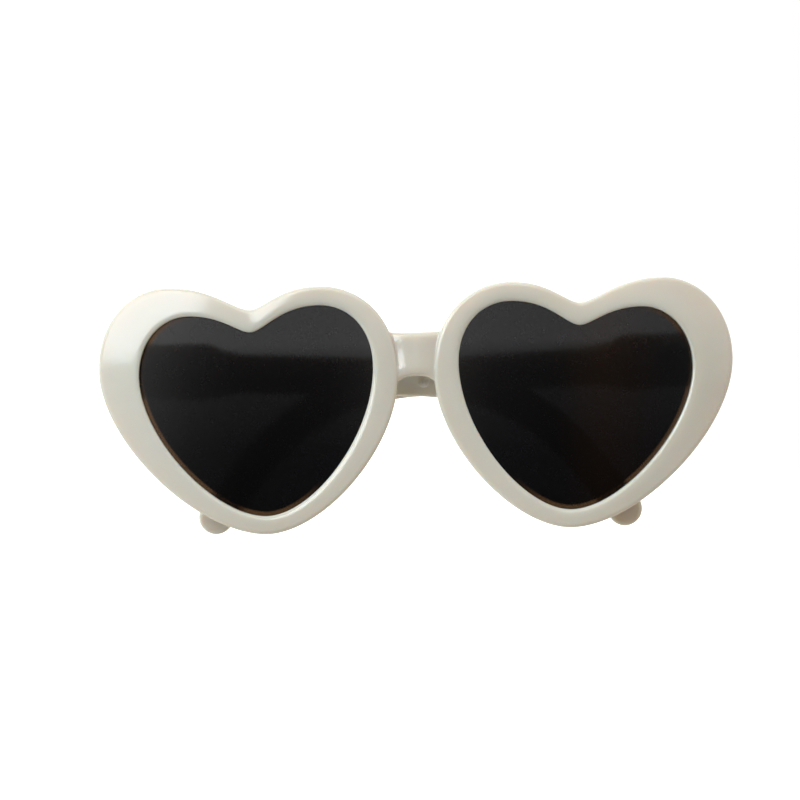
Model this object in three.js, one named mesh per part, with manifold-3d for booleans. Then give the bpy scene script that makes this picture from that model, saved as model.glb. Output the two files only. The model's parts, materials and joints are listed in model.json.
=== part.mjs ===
import * as THREE from 'three';
import { mergeVertices } from 'three/addons/utils/BufferGeometryUtils.js';
import Module from 'manifold-3d';

// Heart-shaped pet sunglasses, temples folded, standing on the heart points and the temple tips.
// Millimetres: +X to the viewer's right, +Y from the front towards the wearer, +Z up.

const wasm = await Module();
wasm.setup();

// Lens openings in the front
const LENS_WIDTH = 29.4;
const LENS_HEIGHT = 26.2;
const LENS_GAP = 10.8;
const LENS_THICKNESS = 1.0;
const LENS_SEAT = 0.6;
const LENS_CLEARANCE = 0.1;

// Rim width round the lens opening
const RIM_POINT = 2.3;
const RIM_NOSE = 3.15;
const RIM_INNER_LOBE = 2.45;
const RIM_CLEFT = 2.9;
const RIM_OUTER_LOBE = 3.7;
const RIM_TEMPLE = 5.2;
const OUTER_LOBE_LEAN = 2.7;
const TEMPLE_SIDE_RISE = 1.0;
const NOSE_SIDE_DROP = 1.0;

// Rim section from front to back
const LIP_DRAFT = 0.2;
const BEVEL_WIDTH = 0.4;
const BEVEL_DEPTH = 0.3;
const BEVEL_SOFTNESS = 0.25;
const CREST_SHARE = 0.3;
const NOSE_SLOPE = THREE.MathUtils.degToRad(3);
const TEMPLE_SLOPE = THREE.MathUtils.degToRad(13);
const SLOPE_GROWTH = 1.5;
const FRONT_LIP = 0.85;
const BACK_LIP = 0.45;
const FRONT_ROUND = 0.6;
const FRONT_ROUND_DEPTH = 0.6;
const BACK_ROUND = 0.4;
const WRAP_RADIUS = 300;

// Bridge over the nose
const BRIDGE_TOP = 24.9;
const BRIDGE_HEIGHT = 5.5;
const BRIDGE_TOP_FLARE = 0.5;
const BRIDGE_ARCH = 6;
const BRIDGE_ARCH_GROWTH = 3;
const BRIDGE_INSET = 0.1;
const BRIDGE_FLAT = 0.5;
const BRIDGE_VALLEY = 0.16;
const BRIDGE_VALLEY_PLACE = 0.92;
const BRIDGE_RUN_OUT = 0.2;
const BRIDGE_MERGE = 0.08;
const BRIDGE_SQUARENESS = 3.3;

// Endpieces that carry the hinges
const ENDPIECE_STANDOFF = 1.8;
const ENDPIECE_INSET = 0.55;
const ENDPIECE_FLARE = 0.2;
const ENDPIECE_SINK = 0.8;

// Hinges
const BARREL_DIAMETER = 1.9;
const BARREL_CLEARANCE = 0.2;
const KNUCKLE_HEIGHT = 1.2;
const KNUCKLE_GAP = 0.1;
const LEAF_THICKNESS = 0.8;
const LEAF_PROUD = 0.5;
const FRONT_LEAF_LENGTH = 3.0;
const TEMPLE_LEAF_LENGTH = 5.0;
const LEAF_CLEARANCE = 0.08;
const SCREW_DIAMETER = 1.0;
const SCREW_CLEARANCE = 0.08;
const SCREW_HEAD_DIAMETER = 1.8;
const SCREW_HEAD_HEIGHT = 0.6;
const SCREW_SLOT_WIDTH = 0.3;
const SCREW_SLOT_DEPTH = 0.25;

// Temples
const ARM_THICKNESS = 2.2;
const ROOT_HEIGHT = 7.0;
const ROOT_LENGTH = 14;
const ROOT_TAPER = 6;
const ARM_HEIGHT = 5.0;
const TIP_HEIGHT = 4.4;
const EDGE_ROUND = 0.5;
const BLOCK_RAISE = 0.4;
const BLOCK_HEIGHT = 6.6;
const BLOCK_ROUND = 0.38;
const BLOCK_LENGTH = 12;
const ARM_TILT = THREE.MathUtils.degToRad(2.7);
const BEND_START = 36;
const BEND_RADIUS = 28;
const TIP_ANGLE = THREE.MathUtils.degToRad(52);
const ROOT_GAP = 0.26;
const PIN_MARK_DIAMETER = 1.5;
const PIN_MARK_FLOOR = 0.4;
const PIN_MARK_DEPTH = 0.35;
const PIN_MARK_PLACE = 36.6;
const PIN_MARK_DROP = 2.2;

// Room between the two folded arms where they cross behind the bridge
const FOLD_GAP = 0.45;

// Room that a cut reaches past a face, the most of a wall that a rounding takes, and facet counts
const CUT = 1;
const ROUND_SHARE = 0.8;
const ROUND_STEPS = 3;
const CREST_STEPS = 2;
const BARREL_SIDES = 20;
const BRIDGE_STATIONS = 30;
const BRIDGE_SIDES = 18;
const ENDPIECE_STATIONS = 3;
const TIP_STEPS = 8;
const BEND_STEPS = 9;
const ROOT_STEPS = 6;

// Sizes worked out from the ones above
const RIM_DEPTH = BEVEL_DEPTH + FRONT_LIP + LENS_THICKNESS + 2 * LENS_CLEARANCE + BACK_LIP;
const GROOVE_FRONT = BEVEL_DEPTH + FRONT_LIP;
const GROOVE_BACK = RIM_DEPTH - BACK_LIP;
const GROOVE_DEPTH = LENS_SEAT + LENS_CLEARANCE;
const LENS_FRONT = GROOVE_FRONT + LENS_CLEARANCE;
const BARREL_RADIUS = BARREL_DIAMETER / 2;
const HINGE_OFFSET = BARREL_RADIUS + BARREL_CLEARANCE;
const ROOT_THICKNESS = ARM_THICKNESS + BLOCK_RAISE;
const KNUCKLE_PITCH = KNUCKLE_HEIGHT + KNUCKLE_GAP;
const HINGE_HEIGHT = 3 * KNUCKLE_HEIGHT + 2 * KNUCKLE_GAP;
const BORE_RADIUS = SCREW_DIAMETER / 2 + SCREW_CLEARANCE;

// A heart on a unit square: place, direction of the tangent and fullness of the curve to the next
const HEART = [
  { name: 'cleft', at: [0.522, 0.878], level: true, fullness: [0.2, 0.57] },
  { name: 'innerLobe', at: [0.225, 1], level: true, fullness: [0.52, 0.65] },
  { name: 'nose', at: [0, 0.706], level: false, fullness: [0.47, 0.42] },
  { name: 'point', at: [0.466, 0], level: true, fullness: [0.41, 0.43] },
  { name: 'temple', at: [1, 0.676], level: false, fullness: [0.61, 0.53] },
  { name: 'outerLobe', at: [0.785, 0.962], level: true, fullness: [0.54, 0.18] },
];
const SEGMENT_STEPS = [8, 11, 13, 13, 12, 8];

// How far the outside of the rim stands from the lens opening at the same six places
const RIM_STEP = {
  cleft: [0, RIM_CLEFT],
  innerLobe: [0, RIM_INNER_LOBE],
  nose: [-RIM_NOSE, -NOSE_SIDE_DROP],
  point: [0, -RIM_POINT],
  temple: [RIM_TEMPLE, TEMPLE_SIDE_RISE],
  outerLobe: [OUTER_LOBE_LEAN, RIM_OUTER_LOBE],
};

function lensPlace({ at }) {
  return new THREE.Vector2(LENS_GAP / 2 + at[0] * LENS_WIDTH, RIM_POINT + at[1] * LENS_HEIGHT);
}

function rimPlace(anchor) {
  return lensPlace(anchor).add(new THREE.Vector2(...RIM_STEP[anchor.name]));
}

// Points round a heart whose six places come from the given function
function heartOutline(place) {
  const points = [];
  HEART.forEach((from, i) => {
    const to = HEART[(i + 1) % HEART.length];
    const start = place(from);
    const end = place(to);
    const reach = end.clone().sub(start);
    const handle = (anchor, share) => new THREE.Vector2(
      anchor.level ? reach.x * share : 0,
      anchor.level ? 0 : reach.y * share,
    );
    const curve = new THREE.CubicBezierCurve(
      start,
      start.clone().add(handle(from, from.fullness[0])),
      end.clone().sub(handle(to, from.fullness[1])),
      end,
    );
    points.push(...curve.getPoints(SEGMENT_STEPS[i]).slice(0, -1));
  });
  return points;
}

// The front is bent round the face: depth grows with the square of the distance from the middle
function wrap(x) {
  return (x * x) / (2 * WRAP_RADIUS);
}

// Closed solids from geometry, and geometry from solids
function solidOf(geometry) {
  const bare = geometry.clone();
  bare.deleteAttribute('normal');
  bare.deleteAttribute('uv');
  const merged = mergeVertices(bare, 1e-4);
  return new wasm.Manifold(new wasm.Mesh({
    numProp: 3,
    vertProperties: new Float32Array(merged.attributes.position.array),
    triVerts: new Uint32Array(merged.index.array),
  }));
}

function geometryOf(solid) {
  const mesh = solid.getMesh();
  const geometry = new THREE.BufferGeometry();
  geometry.setAttribute('position', new THREE.BufferAttribute(mesh.vertProperties, 3));
  geometry.setIndex(new THREE.BufferAttribute(mesh.triVerts, 1));
  geometry.computeVertexNormals();
  return geometry;
}

function joined(geometries) {
  return geometries.map(solidOf).reduce((whole, piece) => whole.add(piece));
}

function cutBy(solid, geometries) {
  return geometries.map(solidOf).reduce((whole, tool) => whole.subtract(tool), solid);
}

function flipped(geometry) {
  const { array } = geometry.index;
  for (let i = 0; i < array.length; i += 3) {
    [array[i], array[i + 1]] = [array[i + 1], array[i]];
  }
  return geometry;
}

// Six times the volume inside a closed geometry, negative where its faces point inwards
function signedVolume(geometry) {
  const { position } = geometry.attributes;
  const corner = (i) => new THREE.Vector3().fromBufferAttribute(position, geometry.index.array[i]);
  let volume = 0;
  for (let i = 0; i < geometry.index.count; i += 3) {
    volume += corner(i).dot(corner(i + 1).cross(corner(i + 2)));
  }
  return volume;
}

function mirrored(geometry) {
  const copy = geometry.clone();
  copy.deleteAttribute('normal');
  copy.deleteAttribute('uv');
  const other = flipped(mergeVertices(copy, 1e-4).scale(-1, 1, 1));
  other.computeVertexNormals();
  return other;
}

// A skin through rings of points, closed round a loop or ended by a fan to the middle of each end ring
function skin(rings, loop) {
  const count = rings[0].length;
  const points = rings.flat();
  const triangles = [];
  const spans = loop ? rings.length : rings.length - 1;
  for (let i = 0; i < spans; i++) {
    const here = i * count;
    const next = ((i + 1) % rings.length) * count;
    for (let j = 0; j < count; j++) {
      const k = (j + 1) % count;
      triangles.push(here + j, next + j, next + k, here + j, next + k, here + k);
    }
  }
  if (!loop) {
    const last = (rings.length - 1) * count;
    const middle = (ring) => ring.reduce((sum, p) => sum.add(p), new THREE.Vector3()).divideScalar(count);
    points.push(middle(rings[0]), middle(rings.at(-1)));
    for (let j = 0; j < count; j++) {
      const k = (j + 1) % count;
      triangles.push(points.length - 2, j, k, points.length - 1, last + k, last + j);
    }
  }
  const geometry = new THREE.BufferGeometry().setFromPoints(points);
  geometry.setIndex(triangles);
  return signedVolume(geometry) < 0 ? flipped(geometry) : geometry;
}

function box(x0, x1, y0, y1, z0, z1) {
  const geometry = new THREE.BoxGeometry(x1 - x0, y1 - y0, z1 - z0);
  return geometry.translate((x0 + x1) / 2, (y0 + y1) / 2, (z0 + z1) / 2);
}

function upright(radius, z0, z1) {
  const geometry = new THREE.CylinderGeometry(radius, radius, z1 - z0, BARREL_SIDES);
  return geometry.rotateX(Math.PI / 2).translate(0, 0, (z0 + z1) / 2);
}

// Points of a curve that leaves and arrives towards its middle point
function bend(start, middle, end, steps) {
  const corners = [start, middle, end].map((p) => new THREE.Vector2(...p));
  return new THREE.QuadraticBezierCurve(...corners).getPoints(steps).map((p) => p.toArray());
}

// Rim section: distance out from the lens opening, and depth from the front, which falls away outwards
function rimSection(width, slope) {
  const crest = LIP_DRAFT + BEVEL_WIDTH;
  const round = Math.min(FRONT_ROUND, ROUND_SHARE * (width - crest));
  const fall = Math.tan(slope);
  const shoulder = width - round;
  const drop = (shoulder - crest) * fall;
  const before = [crest - BEVEL_SOFTNESS, (BEVEL_SOFTNESS * BEVEL_DEPTH) / BEVEL_WIDTH];
  const after = [crest + CREST_SHARE * (shoulder - crest), CREST_SHARE * drop];
  const corner = [width, drop + round * fall];
  return [
    [0, GROOVE_FRONT],
    [LIP_DRAFT, BEVEL_DEPTH],
    ...bend(before, [crest, 0], after, CREST_STEPS),
    ...bend([shoulder, drop], corner, [width, drop + FRONT_ROUND_DEPTH], ROUND_STEPS),
    [width, RIM_DEPTH - BACK_ROUND],
    [width - BACK_ROUND, RIM_DEPTH],
    [0, RIM_DEPTH],
    [0, GROOVE_BACK],
    [GROOVE_DEPTH, GROOVE_BACK],
    [GROOVE_DEPTH, GROOVE_FRONT],
  ];
}

const lensOutline = heartOutline(lensPlace);
const rimOutline = heartOutline(rimPlace);
const outward = lensOutline.map((p, i) => rimOutline[i].clone().sub(p).normalize());

function rightRim() {
  const rings = lensOutline.map((inner, i) => {
    const width = inner.distanceTo(rimOutline[i]);
    const across = (inner.x - LENS_GAP / 2) / LENS_WIDTH;
    const slope = THREE.MathUtils.lerp(NOSE_SLOPE, TEMPLE_SLOPE, across ** SLOPE_GROWTH);
    return rimSection(width, slope).map(([out, depth]) => {
      const p = inner.clone().addScaledVector(outward[i], out);
      return new THREE.Vector3(p.x, depth + wrap(p.x), p.y);
    });
  });
  return skin(rings, true);
}

// Lens: its edge stands in the rim's groove, and both faces follow the wrap of the front
function rightLens() {
  const middle = new THREE.Vector2((LENS_GAP + LENS_WIDTH) / 2, RIM_POINT + LENS_HEIGHT / 2);
  const face = (share, depth) => lensOutline.map((inner, i) => {
    const edge = inner.clone().addScaledVector(outward[i], LENS_SEAT);
    const p = middle.clone().lerp(edge, share);
    return new THREE.Vector3(p.x, depth + wrap(p.x), p.y);
  });
  const shares = [1 / 3, 2 / 3, 1];
  const front = shares.map((share) => face(share, LENS_FRONT));
  const back = shares.map((share) => face(share, LENS_FRONT + LENS_THICKNESS)).reverse();
  return skin([...front, ...back], false);
}

// Half the room between the rims at a height, from the outside of the rim on the nose side
function rimEdge(z) {
  const nose = rimOutline.slice(SEGMENT_STEPS[0], SEGMENT_STEPS[0] + SEGMENT_STEPS[1] + SEGMENT_STEPS[2]);
  const next = nose.findIndex((p) => p.y < z);
  const upper = nose[next - 1];
  const lower = nose[next];
  return THREE.MathUtils.mapLinear(z, lower.y, upper.y, lower.x, upper.x);
}

// Depth of the bridge's front: flat, then a soft valley beside each rim, and a run out into the rim
function bridgeFront(x, z) {
  const edge = rimEdge(z);
  const place = BRIDGE_VALLEY_PLACE * edge;
  const valley = THREE.MathUtils.smoothstep(Math.abs(x), BRIDGE_FLAT * edge, place);
  const rise = THREE.MathUtils.smoothstep(Math.abs(x), place, edge + BRIDGE_RUN_OUT);
  return BRIDGE_INSET + BRIDGE_VALLEY * valley - (BRIDGE_INSET + BRIDGE_VALLEY - BRIDGE_MERGE) * rise;
}

// Bridge: a saddle that runs into the rims, with its underside arched over the nose
function bridge() {
  const reach = LENS_GAP / 2 - GROOVE_DEPTH - BRIDGE_INSET;
  const square = (value) => Math.sign(value) * Math.abs(value) ** (2 / BRIDGE_SQUARENESS);
  const rings = [];
  for (let i = 0; i <= BRIDGE_STATIONS; i++) {
    const side = (2 * i) / BRIDGE_STATIONS - 1;
    const x = side * reach;
    const top = BRIDGE_TOP + BRIDGE_TOP_FLARE * side ** 4;
    const bottom = BRIDGE_TOP - BRIDGE_HEIGHT - BRIDGE_ARCH * Math.abs(side) ** BRIDGE_ARCH_GROWTH;
    const ring = [];
    for (let j = 0; j < BRIDGE_SIDES; j++) {
      const turn = ((j + 0.5) / BRIDGE_SIDES) * 2 * Math.PI;
      const across = square(Math.cos(turn));
      const z = (top + bottom) / 2 + ((top - bottom) / 2) * square(Math.sin(turn));
      const inset = across < 0 ? bridgeFront(x, z) : BRIDGE_INSET;
      const depth = RIM_DEPTH / 2 + (RIM_DEPTH / 2 - inset) * across;
      ring.push(new THREE.Vector3(x, depth + wrap(x), z));
    }
    rings.push(ring);
  }
  return skin(rings, false);
}

// Where the hinge axis stands on the right: beside the endpiece, where the temple parts from it
const templeSide = rimPlace(HEART.find(({ name }) => name === 'temple'));
const OUTSIDE_X = templeSide.x - ENDPIECE_INSET;
const HINGE_X = OUTSIDE_X - ROOT_THICKNESS - HINGE_OFFSET;
const HINGE_Y = wrap(HINGE_X) + RIM_DEPTH + ENDPIECE_STANDOFF;
const HINGE_Z = templeSide.y;

// Endpiece: grows out of the back of the rim and ends flush with the root of the open temple
function rightEndpiece() {
  const inside = HINGE_X + HINGE_OFFSET;
  const start = wrap(inside) + RIM_DEPTH - ENDPIECE_SINK;
  const end = HINGE_Y - ROOT_GAP / 2;
  const rings = [];
  for (let i = 0; i <= ENDPIECE_STATIONS; i++) {
    const flare = ENDPIECE_FLARE * (1 - i / ENDPIECE_STATIONS) ** 2;
    const half = ROOT_HEIGHT / 2 + flare;
    const y = start + (end - start) * (i / ENDPIECE_STATIONS);
    const corner = [
      [inside, -half],
      [OUTSIDE_X - EDGE_ROUND, -half],
      [OUTSIDE_X, EDGE_ROUND - half],
      [OUTSIDE_X, half - EDGE_ROUND],
      [OUTSIDE_X - EDGE_ROUND, half],
      [inside, half],
    ];
    rings.push(corner.map(([x, z]) => new THREE.Vector3(x, y, HINGE_Z + z)));
  }
  return skin(rings, false);
}

// Leaf slots are cut square with a little room all round
function leafSlot(length, half) {
  const inner = HINGE_OFFSET - LEAF_PROUD - LEAF_CLEARANCE;
  const outer = HINGE_OFFSET - LEAF_PROUD + LEAF_THICKNESS + LEAF_CLEARANCE;
  return box(inner, outer, -CUT, length + LEAF_CLEARANCE, -half - LEAF_CLEARANCE, half + LEAF_CLEARANCE);
}

function frontFrame() {
  const rim = rightRim();
  const endpiece = rightEndpiece();
  const slot = leafSlot(FRONT_LEAF_LENGTH, HINGE_HEIGHT / 2).scale(1, -1, 1);
  const rightSlot = flipped(slot).translate(HINGE_X, HINGE_Y, HINGE_Z);
  const front = joined([rim, mirrored(rim), bridge(), endpiece, mirrored(endpiece)]);
  return geometryOf(cutBy(front, [rightSlot, mirrored(rightSlot)]));
}

// A leaf: a plate let into the plastic, with tabs that carry the given knuckles round the screw
function leaf(length, knuckles) {
  const inner = HINGE_OFFSET - LEAF_PROUD;
  const outer = inner + LEAF_THICKNESS;
  const clear = BARREL_RADIUS + BARREL_CLEARANCE;
  const plate = box(inner, outer, clear, length, -HINGE_HEIGHT / 2, HINGE_HEIGHT / 2);
  const pieces = [plate];
  knuckles.forEach((place) => {
    const z0 = place * KNUCKLE_PITCH - KNUCKLE_HEIGHT / 2;
    const z1 = z0 + KNUCKLE_HEIGHT;
    pieces.push(upright(BARREL_RADIUS, z0, z1));
    pieces.push(box(inner / 2, outer, ROOT_GAP, clear + EDGE_ROUND, z0, z1));
  });
  const bore = upright(BORE_RADIUS, -HINGE_HEIGHT, HINGE_HEIGHT);
  return geometryOf(cutBy(joined(pieces), [bore]));
}

// Screw: a shank through the three knuckles and a slotted head on the top one
function screw() {
  const seat = HINGE_HEIGHT / 2 + KNUCKLE_GAP / 2;
  const top = seat + SCREW_HEAD_HEIGHT;
  const shank = SCREW_DIAMETER / 2;
  const head = SCREW_HEAD_DIAMETER / 2;
  const profile = [
    [0, -seat],
    [shank, -seat],
    [shank, seat],
    [head, seat],
    [head, top - SCREW_SLOT_DEPTH],
    [head - SCREW_SLOT_DEPTH, top],
    [0, top],
  ].map(([r, z]) => new THREE.Vector2(r, z));
  const turned = new THREE.LatheGeometry(profile, BARREL_SIDES).rotateX(Math.PI / 2);
  const half = SCREW_SLOT_WIDTH / 2;
  const slot = box(-head, head, -half, half, top - SCREW_SLOT_DEPTH, top + CUT);
  return geometryOf(cutBy(solidOf(turned), [slot]));
}

// Middle line of the arm: tilted down from the hinge, then bent, then straight to the ground
function armLine() {
  const tilted = (along) => ({ along, height: -along * Math.tan(ARM_TILT), angle: ARM_TILT });
  const line = [tilted(-CUT)];
  for (let i = 0; i <= ROOT_STEPS; i++) {
    line.push(tilted((ROOT_LENGTH * i) / ROOT_STEPS));
  }
  const start = tilted(BEND_START);
  for (let i = 0; i <= BEND_STEPS; i++) {
    const angle = ARM_TILT + ((TIP_ANGLE - ARM_TILT) * i) / BEND_STEPS;
    line.push({
      along: start.along + BEND_RADIUS * (Math.sin(angle) - Math.sin(ARM_TILT)),
      height: start.height - BEND_RADIUS * (Math.cos(ARM_TILT) - Math.cos(angle)),
      angle,
    });
  }
  const bent = line.at(-1);
  const drop = HINGE_Z - TIP_HEIGHT / 2 + bent.height;
  const along = bent.along + drop / Math.tan(TIP_ANGLE);
  line.push({ along, height: bent.height - drop, angle: TIP_ANGLE });
  return line;
}

// Side outline of a temple: tapered along the middle line and round at the tip
function templeOutline() {
  const line = armLine();
  const tip = line.at(-1);
  const heightAt = (along) => {
    const root = 1 - THREE.MathUtils.smoothstep(along, ROOT_LENGTH - ROOT_TAPER, ROOT_LENGTH);
    const taper = THREE.MathUtils.clamp((along - ROOT_LENGTH) / (tip.along - ROOT_LENGTH), 0, 1);
    return ARM_HEIGHT + (ROOT_HEIGHT - ARM_HEIGHT) * root + (TIP_HEIGHT - ARM_HEIGHT) * taper;
  };
  const edge = (side) => line.map(({ along, height, angle }) => new THREE.Vector2(
    along + side * Math.sin(angle) * heightAt(along) / 2,
    height + side * Math.cos(angle) * heightAt(along) / 2,
  ));
  const shape = new THREE.Shape(edge(1));
  const quarter = Math.PI / 2;
  shape.absarc(tip.along, tip.height, TIP_HEIGHT / 2, quarter - TIP_ANGLE, -quarter - TIP_ANGLE, true);
  edge(-1).reverse().slice(1).forEach((p) => shape.lineTo(p.x, p.y));
  return shape;
}

// Raised block on the inner face that the temple leaf is let into, round at its far end
function blockOutline() {
  const radius = BLOCK_HEIGHT / 2;
  const shape = new THREE.Shape();
  shape.moveTo(-CUT, radius);
  shape.lineTo(-CUT, -radius);
  shape.absarc(BLOCK_LENGTH - radius, 0, radius, -Math.PI / 2, Math.PI / 2, false);
  return shape;
}

// Side outlines are drawn along the arm and upwards, and given their thickness outwards from the hinge
function acrossArm(shape, inside, thickness, round) {
  const geometry = new THREE.ExtrudeGeometry(shape, {
    depth: thickness - 2 * round,
    curveSegments: TIP_STEPS,
    bevelEnabled: true,
    bevelThickness: round,
    bevelSize: round,
    bevelOffset: -round,
    bevelSegments: 2,
  });
  const axes = [new THREE.Vector3(0, 1, 0), new THREE.Vector3(0, 0, 1), new THREE.Vector3(1, 0, 0)];
  geometry.translate(0, 0, round);
  geometry.applyMatrix4(new THREE.Matrix4().makeBasis(...axes));
  return geometry.translate(inside, 0, 0);
}

// Right temple, open, about its hinge axis: outwards +X, along the arm +Y
function temple() {
  const inside = HINGE_OFFSET + BLOCK_RAISE;
  const arm = acrossArm(templeOutline(), inside, ARM_THICKNESS, EDGE_ROUND);
  const block = acrossArm(blockOutline(), HINGE_OFFSET, BLOCK_RAISE + EDGE_ROUND, BLOCK_ROUND);
  const rootCut = box(-CUT, ROOT_HEIGHT, -ROOT_HEIGHT, ROOT_GAP / 2, -ROOT_HEIGHT, ROOT_HEIGHT);
  const narrow = PIN_MARK_FLOOR / 2;
  const wide = PIN_MARK_DIAMETER - narrow;
  const pinMark = new THREE.CylinderGeometry(narrow, wide, 2 * PIN_MARK_DEPTH, BARREL_SIDES);
  pinMark.rotateZ(-Math.PI / 2).translate(inside, PIN_MARK_PLACE, -PIN_MARK_DROP);
  const cuts = [rootCut, leafSlot(TEMPLE_LEAF_LENGTH, HINGE_HEIGHT / 2), pinMark];
  return geometryOf(cutBy(joined([arm, block]), cuts));
}

// Materials
const ivory = () => new THREE.MeshStandardMaterial({ color: 0xd8d3c6, roughness: 0.22, metalness: 0 });
const smoke = () => new THREE.MeshStandardMaterial({ color: 0x161618, roughness: 0.06, metalness: 0 });
const steel = () => new THREE.MeshStandardMaterial({ color: 0xb8b7b2, roughness: 0.35, metalness: 1 });

function piece(name, geometry, material) {
  const mesh = new THREE.Mesh(geometry, material);
  mesh.name = name;
  return mesh;
}

// The whole pair: the left temple is folded first, a little past square, and the right one over it
const glasses = new THREE.Group();
glasses.add(piece('front_frame', frontFrame(), ivory()));
const lean = Math.atan((ARM_THICKNESS + FOLD_GAP) / (2 * HINGE_X));
const frontLeaf = leaf(FRONT_LEAF_LENGTH, [-1, 1]);
const templeLeaf = leaf(TEMPLE_LEAF_LENGTH, [0]);
const sides = [
  { name: 'right', dress: (geometry) => geometry.clone(), sign: 1, fold: Math.PI / 2 - lean },
  { name: 'left', dress: mirrored, sign: -1, fold: -Math.PI / 2 - lean },
];
sides.forEach(({ name, dress, sign, fold }) => {
  glasses.add(piece(`lens_${name}`, dress(rightLens()), smoke()));
  const hinge = new THREE.Group();
  hinge.position.set(sign * HINGE_X, HINGE_Y, HINGE_Z);
  hinge.add(piece(`hinge_front_leaf_${name}`, dress(flipped(frontLeaf.clone().scale(1, -1, 1))), steel()));
  hinge.add(piece(`hinge_screw_${name}`, dress(screw()), steel()));
  const swing = new THREE.Group();
  swing.rotation.z = fold;
  swing.add(piece(`temple_${name}`, dress(temple()), ivory()));
  swing.add(piece(`hinge_temple_leaf_${name}`, dress(templeLeaf), steel()));
  hinge.add(swing);
  glasses.add(hinge);
});

// Origin on the ground, in the middle of the folded pair
glasses.updateMatrixWorld(true);
const bounds = new THREE.Box3().setFromObject(glasses, true);
const middle = bounds.getCenter(new THREE.Vector3());
glasses.position.set(-middle.x, -middle.y, -bounds.min.z);
const part = new THREE.Group();
part.add(glasses);

export default part;
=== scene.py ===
import json
import math

import bmesh
import bpy
import numpy as np
from mathutils import Matrix, Vector


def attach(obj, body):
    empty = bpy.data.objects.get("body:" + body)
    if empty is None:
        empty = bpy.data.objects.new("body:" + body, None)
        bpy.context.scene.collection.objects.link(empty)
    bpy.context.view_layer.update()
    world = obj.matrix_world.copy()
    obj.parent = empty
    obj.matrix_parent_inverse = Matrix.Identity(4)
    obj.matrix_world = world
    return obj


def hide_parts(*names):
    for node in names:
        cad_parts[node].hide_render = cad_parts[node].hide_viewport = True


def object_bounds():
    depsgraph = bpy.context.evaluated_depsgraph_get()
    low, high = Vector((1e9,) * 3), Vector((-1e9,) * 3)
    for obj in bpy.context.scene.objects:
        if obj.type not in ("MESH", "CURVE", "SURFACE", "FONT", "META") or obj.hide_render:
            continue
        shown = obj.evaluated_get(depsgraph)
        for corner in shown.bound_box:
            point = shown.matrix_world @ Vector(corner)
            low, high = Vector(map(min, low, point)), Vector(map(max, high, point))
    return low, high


# Heart-shaped pet sunglasses, dressed for the studio. Sizes are in millimetres, as in the part's source.
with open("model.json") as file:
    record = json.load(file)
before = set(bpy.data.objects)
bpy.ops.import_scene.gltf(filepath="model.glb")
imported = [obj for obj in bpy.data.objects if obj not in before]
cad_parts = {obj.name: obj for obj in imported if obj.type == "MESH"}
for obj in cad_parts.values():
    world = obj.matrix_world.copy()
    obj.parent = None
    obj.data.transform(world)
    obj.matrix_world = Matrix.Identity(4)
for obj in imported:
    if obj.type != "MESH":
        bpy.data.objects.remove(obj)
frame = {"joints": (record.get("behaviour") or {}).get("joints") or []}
cad_low, cad_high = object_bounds()
MM = 0.001
hinges = {joint["child"]: Vector(joint["pos_m"]) / MM for joint in frame["joints"]}

# Lens openings and lenses
LENS_WIDTH = 29.4
LENS_HEIGHT = 26.2
LENS_GAP = 10.8
LENS_THICKNESS = 1.0
LENS_SEAT = 0.6
LENS_CLEARANCE = 0.1
LENS_EDGE_ROUND = 0.12

# Painted reflection of the lit rim wall as a brown band along a lens edge: width, half its fade, the side
# it is on and how it comes in towards it
PAINTED_REFLECTION_WIDTH = 0.5
PAINTED_REFLECTION_FADE = 0.1
PAINTED_REFLECTION_SIDE = (0.8, -0.6)
PAINTED_REFLECTION_TURN = (-0.1, 0.4)

# Rim width round the lens opening
RIM_POINT = 2.3
RIM_NOSE = 3.15
RIM_INNER_LOBE = 2.45
RIM_CLEFT = 2.9
RIM_OUTER_LOBE = 3.7
RIM_TEMPLE = 5.2
OUTER_LOBE_LEAN = 2.7
TEMPLE_SIDE_RISE = 1.0
NOSE_SIDE_DROP = 1.0

# Rim section from front to back
BEVEL_WIDTH = 0.4
BEVEL_DEPTH = 0.3
BEVEL_SOFTNESS = 0.25
CREST_SHARE = 0.6
NOSE_SLOPE = math.radians(3)
TEMPLE_SLOPE = math.radians(13)
SLOPE_GROWTH = 1.5
FRONT_LIP = 0.85
LIP_DRAFT = 0.05
BACK_LIP = 0.45
FRONT_ROUND = 0.6
BACK_ROUND = 0.4
ROUND_SHARE = 0.8
WRAP_RADIUS = 300

# Bridge and endpieces
BRIDGE_TOP = 24.9
BRIDGE_HEIGHT = 5.5
BRIDGE_TOP_FLARE = 0.5
BRIDGE_FLARE_GROWTH = 4
BRIDGE_ARCH = 6
BRIDGE_ARCH_GROWTH = 3
BRIDGE_INSET = 0.06
BRIDGE_LEAN = 0.22
BRIDGE_LEAN_SPAN = (-5, -2.4)
BRIDGE_VALLEY = 0.23
BRIDGE_VALLEY_PLACE = 0.95
BRIDGE_RUN_OUT = 0.75
BRIDGE_MERGE = 0.1
BRIDGE_SQUARENESS = 5
ENDPIECE_STANDOFF = 1.8
ENDPIECE_FLARE = 0.2
ENDPIECE_SINK = 0.8

# Hinges
BARREL_DIAMETER = 1.9
BARREL_CLEARANCE = 0.2
BARREL_CHAMFER = 0.08
KNUCKLE_HEIGHT = 1.2
KNUCKLE_GAP = 0.1
LEAF_THICKNESS = 0.8
LEAF_PROUD = 0.5
LEAF_CHAMFER = 0.06
FRONT_LEAF_LENGTH = 3.0
TEMPLE_LEAF_LENGTH = 5.0
LEAF_CLEARANCE = 0.08
SCREW_DIAMETER = 1.0
SCREW_CLEARANCE = 0.08
SCREW_HEAD_DIAMETER = 1.8
SCREW_HEAD_HEIGHT = 0.6
SCREW_SLOT_WIDTH = 0.3
SCREW_SLOT_DEPTH = 0.25

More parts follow.
